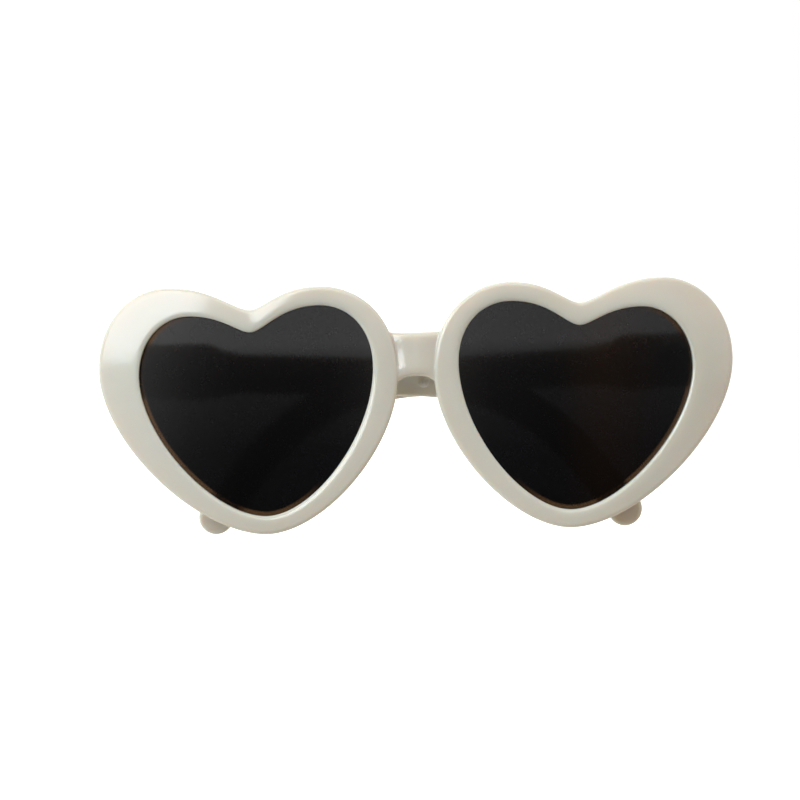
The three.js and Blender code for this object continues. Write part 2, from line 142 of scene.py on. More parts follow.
# Temples
ARM_THICKNESS = 2.2
ROOT_HEIGHT = 7.0
ROOT_LENGTH = 14
ROOT_TAPER = 6
ARM_HEIGHT = 5.0
TIP_HEIGHT = 4.4
EDGE_ROUND = 0.5
BLOCK_RAISE = 0.4
BLOCK_HEIGHT = 6.6
BLOCK_ROUND = 0.38
BLOCK_LENGTH = 12
ARM_TILT = math.radians(2.7)
BEND_START = 36
BEND_RADIUS = 28
TIP_ANGLE = math.radians(52)
ROOT_GAP = 0.26
FOLD_GAP = 0.45
PIN_MARK_DIAMETER = 1.5
PIN_MARK_FLOOR = 0.4
PIN_MARK_DEPTH = 0.35
PIN_MARK_PLACE = 36.6
PIN_MARK_DROP = 2.2

# How far a cut reaches past a face, how near points count as one, and from which angle an edge is sharp
CUT = 1
WELD = 0.002
SHARP_FROM = math.radians(32)

# Facet counts, the share of a lens that plain rings cover, and the profile of a circular rounding
SEGMENT_STEPS = [40, 55, 65, 65, 60, 40]
LENS_RINGS = 10
LENS_FIELD = 0.85
ROUND_STEPS = 12
BRIDGE_STATIONS = 80
BRIDGE_SIDES = 56
ENDPIECE_STATIONS = 12
BARREL_SIDES = 48
ROOT_STEPS = 24
BEND_STEPS = 40
TIP_STEPS = 32
EDGE_STEPS = 5
CHAMFER_STEPS = 2
ROUND_PROFILE = 0.5

# Sizes worked out from the ones above, and from the hinge axes of the frame
RIM_DEPTH = BEVEL_DEPTH + FRONT_LIP + LENS_THICKNESS + 2 * LENS_CLEARANCE + BACK_LIP
GROOVE_FRONT = BEVEL_DEPTH + FRONT_LIP
GROOVE_BACK = RIM_DEPTH - BACK_LIP
GROOVE_DEPTH = LENS_SEAT + LENS_CLEARANCE
LENS_FRONT = GROOVE_FRONT + LENS_CLEARANCE
BARREL_RADIUS = BARREL_DIAMETER / 2
HINGE_OFFSET = BARREL_RADIUS + BARREL_CLEARANCE
KNUCKLE_PITCH = KNUCKLE_HEIGHT + KNUCKLE_GAP
HINGE_HEIGHT = 3 * KNUCKLE_HEIGHT + 2 * KNUCKLE_GAP
BORE_RADIUS = SCREW_DIAMETER / 2 + SCREW_CLEARANCE
HINGE_X, HINGE_Y, HINGE_Z = hinges["right_temple"]
OUTSIDE_X = HINGE_X + HINGE_OFFSET + BLOCK_RAISE + ARM_THICKNESS
FRONT_Y = HINGE_Y - HINGE_X**2 / (2 * WRAP_RADIUS) - RIM_DEPTH - ENDPIECE_STANDOFF
LEAN = math.atan((ARM_THICKNESS + FOLD_GAP) / (2 * HINGE_X))

# A heart on a unit square: place, direction of the tangent and fullness of the curve to the next
HEART = [
    {"name": "cleft", "at": (0.522, 0.878), "level": True, "fullness": (0.2, 0.57)},
    {"name": "inner_lobe", "at": (0.225, 1), "level": True, "fullness": (0.52, 0.65)},
    {"name": "nose", "at": (0, 0.706), "level": False, "fullness": (0.47, 0.42)},
    {"name": "point", "at": (0.466, 0), "level": True, "fullness": (0.41, 0.43)},
    {"name": "temple", "at": (1, 0.676), "level": False, "fullness": (0.61, 0.53)},
    {"name": "outer_lobe", "at": (0.785, 0.962), "level": True, "fullness": (0.54, 0.18)},
]

# Step from each of these places on the lens opening to the outside of the rim
RIM_STEP = {
    "cleft": (0, RIM_CLEFT),
    "inner_lobe": (0, RIM_INNER_LOBE),
    "nose": (-RIM_NOSE, -NOSE_SIDE_DROP),
    "point": (0, -RIM_POINT),
    "temple": (RIM_TEMPLE, TEMPLE_SIDE_RISE),
    "outer_lobe": (OUTER_LOBE_LEAN, RIM_OUTER_LOBE),
}

# Shader sockets of the looks
IVORY = {
    "IOR": 1.5,
    "Specular IOR Level": 0.75,
    "Subsurface Weight": 0.6,
    "Subsurface Radius": (1, 0.6, 0.35),
    "Subsurface Scale": 3 * MM,
}
SMOKE = {
    "IOR": 1.49,
    "Transmission Weight": 1.0,
    "Specular Tint": (0, 0, 0, 1),
    "Coat Weight": 1.0,
    "Coat IOR": 1.49,
    "Coat Roughness": 0.08,
}
STEEL = {"Metallic": 1.0}
PALE = {
    "Roughness": 0.85,
    "Base Color": (0.95, 0.95, 0.95, 1),
    "Emission Color": (1, 1, 1, 1),
    "Emission Strength": 0.8,
}

# Tints as stops of a ramp, over noise or for the lenses over their height, where the lighter top and
# darker bottom of the lenses are painted light and shade, and the tint of the painted reflection band
IVORY_TINTS = [(0.3, (0.625, 0.611, 0.535)), (0.7, (0.665, 0.656, 0.585))]
# The lens's real dark smoke tint, with painted light at the top and painted shade lower down
SMOKE_AND_PAINTED_LIGHT_TINTS = [
    (0.3, (0.0009, 0.0009, 0.0011)),
    (0.65, (0.003, 0.003, 0.0032)),
    (0.82, (0.0185, 0.0185, 0.0187)),
]
# Brown of the painted reflection band along the lens edge
PAINTED_REFLECTION_TINT = (0.034, 0.0185, 0.0085, 1)
STEEL_TINTS = [(0.3, (0.52, 0.51, 0.48)), (0.7, (0.66, 0.65, 0.62))]

# Roughness of the looks, from the least to the most
IVORY_ROUGHNESS = (0.1, 0.16)
SMOKE_ROUGHNESS = (0.24, 0.28)
STEEL_ROUGHNESS = (0.22, 0.42)

# Noise of the looks, in waves a metre, and the part of its range that is used
IVORY_CLOUDS = {"scale": 70, "detail": 3}
IVORY_POLISH = {"scale": 500, "detail": 4}
IVORY_RIPPLE = {"scale": 450, "detail": 2}
IVORY_GRAIN = {"scale": 5000, "detail": 3}
SMOKE_POLISH = {"scale": 900, "detail": 3}
SMOKE_RIPPLE = {"scale": 120, "detail": 2}
STEEL_CLOUDS = {"scale": 900, "detail": 4}
STEEL_BRUSHING = {"scale": 4000, "detail": 4, "stretch": (1, 1, 0.08)}
NOISE_SPAN = (0.3, 0.7)

# Strength of each bump, and its depth in metres
IVORY_RIPPLE_BUMP = (0.12, 0.0001)
IVORY_GRAIN_BUMP = (0.05, 0.00002)
SMOKE_RIPPLE_BUMP = (0.05, 0.0001)
STEEL_BRUSHING_BUMP = (0.1, 0.00002)

# Sockets of the colour mix node, by number because their names repeat
MIX_FACTOR = 0
MIX_FIRST = 6
MIX_SECOND = 7
MIX_RESULT = 2


def lens_place(anchor):
    across, up = anchor["at"]
    return np.array([LENS_GAP / 2 + across * LENS_WIDTH, RIM_POINT + up * LENS_HEIGHT])


def rim_place(anchor):
    return lens_place(anchor) + RIM_STEP[anchor["name"]]


def heart_outline(place):
    """Points round a heart whose six places come from the given function."""
    points = []
    for i, start_anchor in enumerate(HEART):
        end_anchor = HEART[(i + 1) % len(HEART)]
        start, end = place(start_anchor), place(end_anchor)
        reach = end - start
        first, second = start_anchor["fullness"]
        leave = reach * first * ([1, 0] if start_anchor["level"] else [0, 1])
        arrive = reach * second * ([1, 0] if end_anchor["level"] else [0, 1])
        for t in np.arange(SEGMENT_STEPS[i]) / SEGMENT_STEPS[i]:
            blend = [(1 - t) ** 3, 3 * t * (1 - t) ** 2, 3 * t * t * (1 - t), t**3]
            points.append(np.dot(blend, [start, start + leave, end - arrive, end]))
    return np.array(points)


def smoothstep(value, low, high):
    t = min(max((value - low) / (high - low), 0), 1)
    return t * t * (3 - 2 * t)


def wrap(x):
    """How far the front stands back at x, since it is bent round the face."""
    return x * x / (2 * WRAP_RADIUS)


def on_front(x, depth, z):
    """A point of the front: depth is counted from the foremost line."""
    return (x, FRONT_Y + depth + wrap(x), z)


# Meshes and solids


def added(name, data):
    """A new object of the scene."""
    item = bpy.data.objects.new(name, data)
    bpy.context.scene.collection.objects.link(item)
    return item


def drawn(name, tool):
    """A new object from a mesh that was being edited, which ends the editing."""
    mesh = bpy.data.meshes.new(name)
    tool.to_mesh(mesh)
    tool.free()
    return added(name, mesh)


def mesh_object(name, points, faces):
    """A new object from points and faces, with the faces turned outwards."""
    mesh = bpy.data.meshes.new(name)
    mesh.from_pydata([Vector(p) * MM for p in points], [], faces)
    tool = bmesh.new()
    tool.from_mesh(mesh)
    bmesh.ops.recalc_face_normals(tool, faces=tool.faces)
    tool.to_mesh(mesh)
    tool.free()
    return added(name, mesh)


def skin(name, rings, loop=False):
    """A closed skin through rings of points, joined into a loop or ended by flat caps."""
    count = len(rings[0])
    points = [p for ring in rings for p in ring]
    faces = []
    for i in range(len(rings) if loop else len(rings) - 1):
        here, there = i * count, (i + 1) % len(rings) * count
        for j in range(count):
            k = (j + 1) % count
            faces.append((here + j, there + j, there + k, here + k))
    if not loop:
        last = (len(rings) - 1) * count
        faces.append(tuple(range(count)))
        faces.append(tuple(range(last, last + count)))
    return mesh_object(name, points, faces)


def mirrored(piece, name):
    """A copy of a piece on the other side of the middle plane."""
    mesh = piece.data.copy()
    mesh.transform(Matrix.Scale(-1, 4, (1, 0, 0)))
    mesh.flip_normals()
    return added(name, mesh)


def combine(piece, others, operation):
    """Joins other solids to a piece, or cuts them from it, and removes them."""
    for other in others:
        modifier = piece.modifiers.new("combine", "BOOLEAN")
        modifier.operation = operation
        modifier.solver = "MANIFOLD"
        modifier.object = other
    graph = bpy.context.evaluated_depsgraph_get()
    graph.update()
    old = piece.data
    piece.data = bpy.data.meshes.new_from_object(piece.evaluated_get(graph))
    piece.data.name = piece.name
    piece.modifiers.clear()
    bpy.data.meshes.remove(old)
    for other in others:
        bpy.data.meshes.remove(other.data)
    return piece


def weld(piece):
    """Closes the slivers that nearly touching faces leave when solids are joined."""
    tool = bmesh.new()
    tool.from_mesh(piece.data)
    bmesh.ops.remove_doubles(tool, verts=tool.verts, dist=WELD * MM)
    bmesh.ops.dissolve_degenerate(tool, dist=WELD * MM, edges=tool.edges)
    tool.to_mesh(piece.data)
    tool.free()
    return piece


def smooth(piece):
    """Shades a piece smooth, apart from its sharp edges."""
    piece.data.shade_smooth()
    piece.data.set_sharp_from_angle(angle=SHARP_FROM)
    return piece


def round_edges(tool, edges, radius, steps):
    bmesh.ops.bevel(
        tool, geom=edges, offset=radius * MM, segments=steps, affect="EDGES", profile=ROUND_PROFILE
    )


def box(name, low, high, chamfer=0):
    """A box between two corners with an optional chamfer on its edges."""
    tool = bmesh.new()
    bmesh.ops.create_cube(tool, size=1)
    size = (Vector(high) - Vector(low)) * MM
    middle = (Vector(high) + Vector(low)) / 2 * MM
    place = Matrix.Translation(middle) @ Matrix.Diagonal(size).to_4x4()
    bmesh.ops.transform(tool, matrix=place, verts=tool.verts)
    if chamfer:
        round_edges(tool, tool.edges[:], chamfer, CHAMFER_STEPS)
    return drawn(name, tool)


def turned(name, profile):
    """A solid of revolution about the upright axis, from a profile of radius and height."""
    rings = []
    for radius, z in profile:
        turns = np.arange(BARREL_SIDES) / BARREL_SIDES * 2 * math.pi
        rings.append([(radius * math.cos(a), radius * math.sin(a), z) for a in turns])
    return skin(name, rings)


def upright(name, radius, low, high, chamfer=0):
    """A cylinder about the upright axis with an optional chamfer at its ends."""
    if not chamfer:
        return turned(name, [(radius, low), (radius, high)])
    profile = [(radius - chamfer, low), (radius, low + chamfer)]
    profile += [(radius, high - chamfer), (radius - chamfer, high)]
    return turned(name, profile)


# The front: two rims, bridge and endpieces in one moulding

lens_line = heart_outline(lens_place)
rim_line = heart_outline(rim_place)
rim_width = np.linalg.norm(rim_line - lens_line, axis=1)
outward = (rim_line - lens_line) / rim_width[:, None]


def curve(start, middle, end, steps):
    """Points of a curve that leaves and arrives towards its middle point."""
    points = []
    for t in np.linspace(0, 1, steps + 1):
        points.append(np.dot([(1 - t) ** 2, 2 * t * (1 - t), t * t], [start, middle, end]))
    return points


def rim_section(width, slope):
    """Distance out from the lens opening, and depth from the front, which falls away outwards."""
    crest = LIP_DRAFT + BEVEL_WIDTH
    round_out = min(FRONT_ROUND, ROUND_SHARE * (width - crest))
    fall = math.tan(slope)
    shoulder = width - round_out
    drop = (shoulder - crest) * fall
    before = (crest - BEVEL_SOFTNESS, BEVEL_SOFTNESS * BEVEL_DEPTH / BEVEL_WIDTH)
    after = (crest + CREST_SHARE * (shoulder - crest), CREST_SHARE * drop)
    corner = (width, drop + round_out * fall)
    side = (width, drop + FRONT_ROUND)
    back_side = (width, RIM_DEPTH - BACK_ROUND)
    back = (width - BACK_ROUND, RIM_DEPTH)
    section = [(0, GROOVE_FRONT), (LIP_DRAFT, BEVEL_DEPTH)]
    section += curve(before, (crest, 0), after, ROUND_STEPS // 2)
    section += curve((shoulder, drop), corner, side, ROUND_STEPS)
    section += curve(back_side, (width, RIM_DEPTH), back, ROUND_STEPS // 2)
    section += [(0, RIM_DEPTH), (0, GROOVE_BACK)]
    section += [(GROOVE_DEPTH, GROOVE_BACK), (GROOVE_DEPTH, GROOVE_FRONT)]
    return section


def right_rim():
    rings = []
    for inner, way, width in zip(lens_line, outward, rim_width):
        across = (inner[0] - LENS_GAP / 2) / LENS_WIDTH
        slope = NOSE_SLOPE + (TEMPLE_SLOPE - NOSE_SLOPE) * across**SLOPE_GROWTH
        ring = []
        for out, depth in rim_section(width, slope):
            x, z = inner + way * out
            ring.append(on_front(x, depth, z))
        rings.append(ring)
    return skin("rim", rings, loop=True)


def bridge_front(x, z):
    """Depth of the bridge's front, which leans back and bulges between the rims."""
    nose = rim_line[SEGMENT_STEPS[0]:sum(SEGMENT_STEPS[:3])][::-1]
    edge = np.interp(z, nose[:, 1], nose[:, 0])
    place = BRIDGE_VALLEY_PLACE * edge
    lean = BRIDGE_LEAN * smoothstep(z - BRIDGE_TOP, *BRIDGE_LEAN_SPAN)
    valley = BRIDGE_VALLEY * min(abs(x) / place, 1) ** 2
    rise = smoothstep(abs(x), place, edge + BRIDGE_RUN_OUT)
    depth = BRIDGE_INSET + lean + valley
    return depth + (BRIDGE_MERGE - depth) * rise


def squared(value):
    """A sine or cosine pushed outwards, so that a circle becomes a rounded square."""
    return math.copysign(abs(value) ** (2 / BRIDGE_SQUARENESS), value)


def bridge():
    """A saddle that runs into the rims, with its underside arched over the nose."""
    reach = LENS_GAP / 2 - GROOVE_DEPTH - BRIDGE_INSET
    rings = []
    for side in np.linspace(-1, 1, BRIDGE_STATIONS + 1):
        x = side * reach
        top = BRIDGE_TOP + BRIDGE_TOP_FLARE * side**BRIDGE_FLARE_GROWTH
        bottom = BRIDGE_TOP - BRIDGE_HEIGHT - BRIDGE_ARCH * abs(side) ** BRIDGE_ARCH_GROWTH
        ring = []
        for turn in (np.arange(BRIDGE_SIDES) + 0.5) / BRIDGE_SIDES * 2 * math.pi:
            across = squared(math.cos(turn))
            z = (top + bottom) / 2 + (top - bottom) / 2 * squared(math.sin(turn))
            inset = bridge_front(x, z) if across < 0 else BRIDGE_INSET
            ring.append(on_front(x, RIM_DEPTH / 2 + (RIM_DEPTH / 2 - inset) * across, z))
        rings.append(ring)
    return skin("bridge", rings)


def right_endpiece():
    """Grows out of the back of the rim and ends flush with the root of the open temple."""
    inside = HINGE_X + HINGE_OFFSET
    start = FRONT_Y + wrap(inside) + RIM_DEPTH - ENDPIECE_SINK
    end = HINGE_Y - ROOT_GAP / 2
    rings = []
    for along in np.linspace(0, 1, ENDPIECE_STATIONS + 1):
        half = ROOT_HEIGHT / 2 + ENDPIECE_FLARE * (1 - along) ** 2
        y = start + (end - start) * along
        ring = [(inside, y, HINGE_Z + half), (inside, y, HINGE_Z - half)]
        for sign in (-1, 1):
            for turn in np.linspace(0, math.pi / 2, EDGE_STEPS + 1)[::sign]:
                x = OUTSIDE_X - EDGE_ROUND * (1 - math.cos(turn))
                z = HINGE_Z + sign * (half - EDGE_ROUND * (1 - math.sin(turn)))
                ring.append((x, y, z))
        rings.append(ring)
    return skin("endpiece", rings)


def leaf_slot(length):
    inner = HINGE_OFFSET - LEAF_PROUD - LEAF_CLEARANCE
    outer = HINGE_OFFSET - LEAF_PROUD + LEAF_THICKNESS + LEAF_CLEARANCE
    half = HINGE_HEIGHT / 2 + LEAF_CLEARANCE
    return box("slot", (inner, -CUT, -half), (outer, length + LEAF_CLEARANCE, half))


def front():
    rim, endpiece, slot = right_rim(), right_endpiece(), leaf_slot(FRONT_LEAF_LENGTH)
    place = Matrix.Translation(hinges["right_temple"] * MM)
    slot.data.transform(place @ Matrix.Scale(-1, 4, (0, 1, 0)))
    slot.data.flip_normals()
    joined = [mirrored(rim, "rim"), bridge(), endpiece, mirrored(endpiece, "endpiece")]
    cuts = [slot, mirrored(slot, "slot")]
    rim.name = "front_moulding"
    combine(rim, joined, "UNION")
    combine(rim, cuts, "DIFFERENCE")
    return smooth(rim)


def right_lens():
    """A sheet that follows the front's wrap, with its edge in the rim's groove and the band of its painted
    reflection marked.
    """
    middle = np.array([(LENS_GAP + LENS_WIDTH) / 2, RIM_POINT + LENS_HEIGHT / 2])
    edge = lens_line + outward * LENS_SEAT
    back = LENS_FRONT + LENS_THICKNESS
    painted_reflection_starts = -LENS_SEAT - PAINTED_REFLECTION_WIDTH - PAINTED_REFLECTION_FADE
    painted_reflection_full = -LENS_SEAT - PAINTED_REFLECTION_WIDTH + PAINTED_REFLECTION_FADE
    face = [(share, 0, 0, 0) for share in np.linspace(0, LENS_FIELD, LENS_RINGS)[1:]]
    face += [(1, painted_reflection_starts, 0, 0), (1, painted_reflection_full, 0, 1)]
    face += [(1, -LENS_EDGE_ROUND, 0, 1), (1, 0, LENS_EDGE_ROUND, 1)]
    path = [(share, out, LENS_FRONT + depth, mark) for share, out, depth, mark in face]
    path += [(share, out, back - depth, mark) for share, out, depth, mark in face[::-1]]
    on_side = [smoothstep(np.dot(way, PAINTED_REFLECTION_SIDE), *PAINTED_REFLECTION_TURN) for way in outward]
    rings, marks = [], []
    for share, out, depth, mark in path:
        places = middle + (edge + outward * out - middle) * share
        rings.append([on_front(x, depth, z) for x, z in places])
        marks += [mark * side for side in on_side]
    lens = skin("right_lens", rings)
    # Marks where the painted reflection of the lit rim wall goes, as a point attribute
    lens.data.attributes.new("painted_reflection", "FLOAT", "POINT").data.foreach_set("value", marks)
    return smooth(lens)


# Hinges: leaves with knuckles, and slotted screws


def right_leaf(name, length, knuckles):
    inner = HINGE_OFFSET - LEAF_PROUD
    outer = inner + LEAF_THICKNESS
    half = HINGE_HEIGHT / 2
    plate = box(name, (inner, HINGE_OFFSET, -half), (outer, length, half), LEAF_CHAMFER)
    joined = []
    for place in knuckles:
        low = place * KNUCKLE_PITCH - KNUCKLE_HEIGHT / 2
        high = low + KNUCKLE_HEIGHT
        joined.append(upright("barrel", BARREL_RADIUS, low, high, BARREL_CHAMFER))
        near = (inner / 2, ROOT_GAP, low)
        far = (outer, HINGE_OFFSET + EDGE_ROUND, high)
        joined.append(box("tab", near, far, LEAF_CHAMFER))
    combine(plate, joined, "UNION")
    combine(plate, [upright("bore", BORE_RADIUS, -HINGE_HEIGHT, HINGE_HEIGHT)], "DIFFERENCE")
    return smooth(weld(plate))


def screw(name):
    seat = HINGE_HEIGHT / 2 + KNUCKLE_GAP / 2
    top = seat + SCREW_HEAD_HEIGHT
    shank, head = SCREW_DIAMETER / 2, SCREW_HEAD_DIAMETER / 2
    profile = [(shank - BARREL_CHAMFER, -seat), (shank, -seat + BARREL_CHAMFER), (shank, seat)]
    profile += [(head - LEAF_CHAMFER, seat), (head, seat + LEAF_CHAMFER)]
    for turn in np.linspace(0, math.pi / 2, EDGE_STEPS + 1)[:-1]:
        rise = SCREW_SLOT_DEPTH * math.sin(turn)
        profile.append((head - SCREW_SLOT_DEPTH * (1 - math.cos(turn)), top - SCREW_SLOT_DEPTH + rise))
    profile.append((head - SCREW_SLOT_DEPTH, top))
    low = (-head, -SCREW_SLOT_WIDTH / 2, top - SCREW_SLOT_DEPTH)
    high = (head, SCREW_SLOT_WIDTH / 2, top + CUT)
    return smooth(combine(turned(name, profile), [box("slot", low, high)], "DIFFERENCE"))


# Temples: drawn open about the hinge axis, outwards +X and along the arm +Y


def arm_line():
    """Middle line: tilted down from the hinge, then bent, then straight until the tip is on the ground."""
    line = [(-CUT, CUT * math.tan(ARM_TILT), ARM_TILT)]
    for along in np.linspace(0, ROOT_LENGTH, ROOT_STEPS + 1):
        line.append((along, -along * math.tan(ARM_TILT), ARM_TILT))
    start = -BEND_START * math.tan(ARM_TILT)
    for angle in np.linspace(ARM_TILT, TIP_ANGLE, BEND_STEPS + 1):
        along = BEND_START + BEND_RADIUS * (math.sin(angle) - math.sin(ARM_TILT))
        line.append((along, start - BEND_RADIUS * (math.cos(ARM_TILT) - math.cos(angle)), angle))
    along, height, angle = line[-1]
    drop = HINGE_Z - TIP_HEIGHT / 2 + height
    line.append((along + drop / math.tan(TIP_ANGLE), height - drop, angle))
    return line


def temple_outline():
    """Places along the arm and heights: tapered along the middle line and round at the tip."""
    line = arm_line()
    tip_along, tip_height, _ = line[-1]
    edges = {1: [], -1: []}
    for along, height, angle in line:
        root = 1 - smoothstep(along, ROOT_LENGTH - ROOT_TAPER, ROOT_LENGTH)
        taper = min(max((along - ROOT_LENGTH) / (tip_along - ROOT_LENGTH), 0), 1)
        tall = ARM_HEIGHT + (ROOT_HEIGHT - ARM_HEIGHT) * root + (TIP_HEIGHT - ARM_HEIGHT) * taper
        for side, edge in edges.items():
            across = side * math.sin(angle) * tall / 2
            up = side * math.cos(angle) * tall / 2
            edge.append((along + across, height + up))
    radius = TIP_HEIGHT / 2
    tip = []
    for turn in np.linspace(math.pi / 2, -math.pi / 2, TIP_STEPS + 1)[1:-1]:
        angle = turn - TIP_ANGLE
        tip.append((tip_along + radius * math.cos(angle), tip_height + radius * math.sin(angle)))
    return edges[1] + tip + edges[-1][::-1]


def block_outline():
    """Raised block that the temple leaf is let into, round at its far end."""
    radius = BLOCK_HEIGHT / 2
    outline = [(-CUT, radius)]
    for turn in np.linspace(math.pi / 2, -math.pi / 2, TIP_STEPS + 1):
        outline.append((BLOCK_LENGTH - radius + radius * math.cos(turn), radius * math.sin(turn)))
    return outline + [(-CUT, -radius)]


def across_arm(name, outline, inside, thickness, round_edge):
    """Gives a side outline its thickness outwards from the hinge, with round edges."""
    tool = bmesh.new()
    verts = [tool.verts.new((inside * MM, along * MM, height * MM)) for along, height in outline]
    face = tool.faces.new(verts)
    edges = face.edges[:]
    made = bmesh.ops.extrude_face_region(tool, geom=[face])["geom"]
    moved = [item for item in made if isinstance(item, bmesh.types.BMVert)]
    edges += [item for item in made if isinstance(item, bmesh.types.BMEdge)]
    bmesh.ops.translate(tool, verts=moved, vec=(thickness * MM, 0, 0))
    bmesh.ops.recalc_face_normals(tool, faces=tool.faces)
    round_edges(tool, edges, round_edge, EDGE_STEPS)
    return drawn(name, tool)


def pin_mark(inside):
    """The cone that the mould's pin leaves in the inner face of the arm."""
    wide, narrow = PIN_MARK_DIAMETER - PIN_MARK_FLOOR / 2, PIN_MARK_FLOOR / 2
    pin = turned("pin_mark", [(wide, -PIN_MARK_DEPTH), (narrow, PIN_MARK_DEPTH)])
    place = Vector((inside, PIN_MARK_PLACE, -PIN_MARK_DROP)) * MM
    pin.data.transform(Matrix.Translation(place) @ Matrix.Rotation(math.pi / 2, 4, "Y"))
    return pin


def right_temple():
    inside = HINGE_OFFSET + BLOCK_RAISE
    arm = across_arm("right_temple_moulding", temple_outline(), inside, ARM_THICKNESS, EDGE_ROUND)
    block = across_arm("block", block_outline(), HINGE_OFFSET, BLOCK_RAISE + EDGE_ROUND, BLOCK_ROUND)
    low, high = (-CUT, -ROOT_HEIGHT, -ROOT_HEIGHT), (ROOT_HEIGHT, ROOT_GAP / 2, ROOT_HEIGHT)
    cuts = [box("root_cut", low, high), leaf_slot(TEMPLE_LEAF_LENGTH), pin_mark(inside)]
    combine(arm, [block], "UNION")
    combine(arm, cuts, "DIFFERENCE")
    return smooth(arm)


# Materials


def material(name, sockets):
    """A new material, its node tree and its shader with the given constant sockets."""
    made = bpy.data.materials.new(name)
    made.use_nodes = True
    tree = made.node_tree
    shader = tree.nodes["Principled BSDF"]
    for socket, value in sockets.items():
        shader.inputs[socket].default_value = value
    return made, tree, shader


def add(tree, kind, **settings):
    """A node of the given kind, with its inputs or properties set by name."""
    node = tree.nodes.new(kind)
    for key, value in settings.items():
        if key in node.inputs:
            node.inputs[key].default_value = value
        else:
            setattr(node, key, value)
    return node


def axes(tree, coordinates):
    """The X, Y and Z of the given texture coordinates."""
    place = add(tree, "ShaderNodeTexCoord")
    split = add(tree, "ShaderNodeSeparateXYZ")
    tree.links.new(place.outputs[coordinates], split.inputs["Vector"])
    return split.outputs["X"], split.outputs["Y"], split.outputs["Z"]


def noise(tree, scale, detail, stretch=(1, 1, 1)):
    """Noise in the piece's own coordinates."""
    place = add(tree, "ShaderNodeTexCoord")
    mapping = add(tree, "ShaderNodeMapping", Scale=stretch)
    texture = add(tree, "ShaderNodeTexNoise", Scale=scale, Detail=detail)
    tree.links.new(place.outputs["Object"], mapping.inputs["Vector"])
    tree.links.new(mapping.outputs["Vector"], texture.inputs["Vector"])
    return texture.outputs["Fac"]


def ramp(tree, factor, stops):
    """A colour ramp from stops of place and colour."""
    node = add(tree, "ShaderNodeValToRGB")
    elements = node.color_ramp.elements
    while len(elements) < len(stops):
        elements.new(0.5)
    for element, (place, colour) in zip(elements, stops):
        element.position = place
        element.color = (*colour, 1)
    tree.links.new(factor, node.inputs["Fac"])
    return node.outputs["Color"]


def between(tree, value, span, result=(0, 1)):
    """Maps a span of numbers to another one, and holds its ends outside of it."""
    node = add(tree, "ShaderNodeMapRange")
    node.inputs["From Min"].default_value, node.inputs["From Max"].default_value = span
    node.inputs["To Min"].default_value, node.inputs["To Max"].default_value = result
    tree.links.new(value, node.inputs["Value"])
    return node.outputs["Result"]


def mixed(tree, blend, factor, first, second):
    """Two colours mixed, each a socket or a fixed value."""
    node = add(tree, "ShaderNodeMix", data_type="RGBA", blend_type=blend)
    for socket, value in ((MIX_FACTOR, factor), (MIX_FIRST, first), (MIX_SECOND, second)):
        if isinstance(value, bpy.types.NodeSocket):
            tree.links.new(value, node.inputs[socket])
        else:
            node.inputs[socket].default_value = value
    return node.outputs[MIX_RESULT]


def roughen(tree, shader, source, limits):
    """Varies the roughness by noise."""
    tree.links.new(between(tree, source, NOISE_SPAN, limits), shader.inputs["Roughness"])


def bumps(tree, shader, layers):
    """Stacked bump layers, each of a height source and its strength and depth."""
    last = None
    for height, (strength, depth) in layers:
        node = add(tree, "ShaderNodeBump", Strength=strength, Distance=depth)
        tree.links.new(height, node.inputs["Height"])
        if last:
            tree.links.new(last.outputs["Normal"], node.inputs["Normal"])
        last = node
    tree.links.new(last.outputs["Normal"], shader.inputs["Normal"])


def ivory_plastic():
    made, tree, shader = material("ivory_plastic", IVORY)
    tint = ramp(tree, noise(tree, **IVORY_CLOUDS), IVORY_TINTS)
    tree.links.new(tint, shader.inputs["Base Color"])
    roughen(tree, shader, noise(tree, **IVORY_POLISH), IVORY_ROUGHNESS)
    ripple = noise(tree, **IVORY_RIPPLE)
    grain = noise(tree, **IVORY_GRAIN)
    bumps(tree, shader, [(ripple, IVORY_RIPPLE_BUMP), (grain, IVORY_GRAIN_BUMP)])
    return made


def smoke_lens():
    """A slightly hazy dark body under a polished face, with painted light and shade that make it lighter
    at the top and darker below, and a painted reflection of the lit rim wall as a brown band.
    """
    made, tree, shader = material("smoke_lens", SMOKE)
    _, _, z = axes(tree, "Object")
    # Painted light and shade: the lens is made lighter towards its top and darker below, over its height
    height = between(tree, z, (RIM_POINT * MM, (RIM_POINT + LENS_HEIGHT) * MM))
    # Painted reflection of the lit rim wall, as a brown band along the lower and outer lens edge
    painted_reflection = add(tree, "ShaderNodeAttribute", attribute_name="painted_reflection")
    tint = mixed(tree, "MIX", painted_reflection.outputs["Fac"], ramp(tree, height, SMOKE_AND_PAINTED_LIGHT_TINTS), PAINTED_REFLECTION_TINT)
    tree.links.new(tint, shader.inputs["Base Color"])
    roughen(tree, shader, noise(tree, **SMOKE_POLISH), SMOKE_ROUGHNESS)
    bumps(tree, shader, [(noise(tree, **SMOKE_RIPPLE), SMOKE_RIPPLE_BUMP)])
    return made


def hinge_steel():
    made, tree, shader = material("hinge_steel", STEEL)
    brushing = noise(tree, **STEEL_BRUSHING)
    tint = ramp(tree, noise(tree, **STEEL_CLOUDS), STEEL_TINTS)
    tree.links.new(tint, shader.inputs["Base Color"])
    roughen(tree, shader, brushing, STEEL_ROUGHNESS)
    bumps(tree, shader, [(brushing, STEEL_BRUSHING_BUMP)])
    return made


# Dressing the frame


def dress(piece, body, node, look):
    """Gives a piece its look and puts it in the place of a node."""
    piece.data.materials.clear()
    piece.data.materials.append(look)
    for face in piece.data.polygons:
        face.material_index = 0
    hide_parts(node)
    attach(piece, body)


ivory = ivory_plastic()
smoke = smoke_lens()
steel = hinge_steel()

dress(front(), "front", "front_frame", ivory)
lens = right_lens()
dress(mirrored(lens, "left_lens"), "front", "lens_left", smoke)
dress(lens, "front", "lens_right", smoke)

